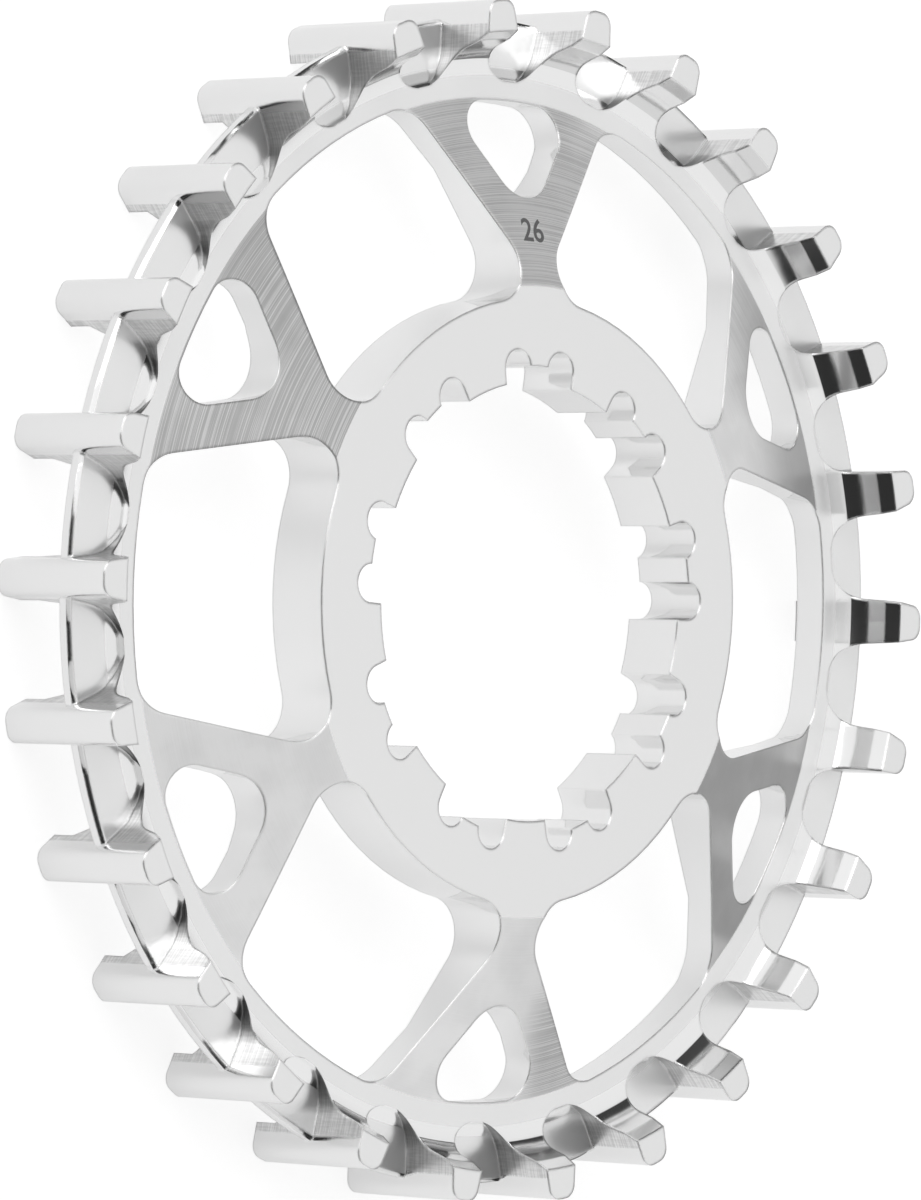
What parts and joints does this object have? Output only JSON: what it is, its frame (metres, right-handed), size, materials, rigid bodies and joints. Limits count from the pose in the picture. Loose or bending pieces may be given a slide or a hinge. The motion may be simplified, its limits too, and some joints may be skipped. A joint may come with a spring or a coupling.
{
  "type": "belt drive sprocket",
  "caption": "Machined sprocket for a bicycle's toothed drive belt: bar teeth with a thin centre fin, Y-shaped arms, and a splined bore.",
  "frame": {"origin": "on the axis of rotation, at the back ends of the teeth, on which the sprocket lies", "axes": "+Z along the axis of rotation, out of the front; +Y along the middle of one arm, which is also the middle of a gap between two teeth"},
  "size_m": [0.0894, 0.0888, 0.0108],
  "materials": {
    "sprocket": "bright machined steel, polished teeth and a finely brushed web"
  },
  "bodies": {
    "root": {"sprocket": "sprocket"}
  },
  "joints": []
}
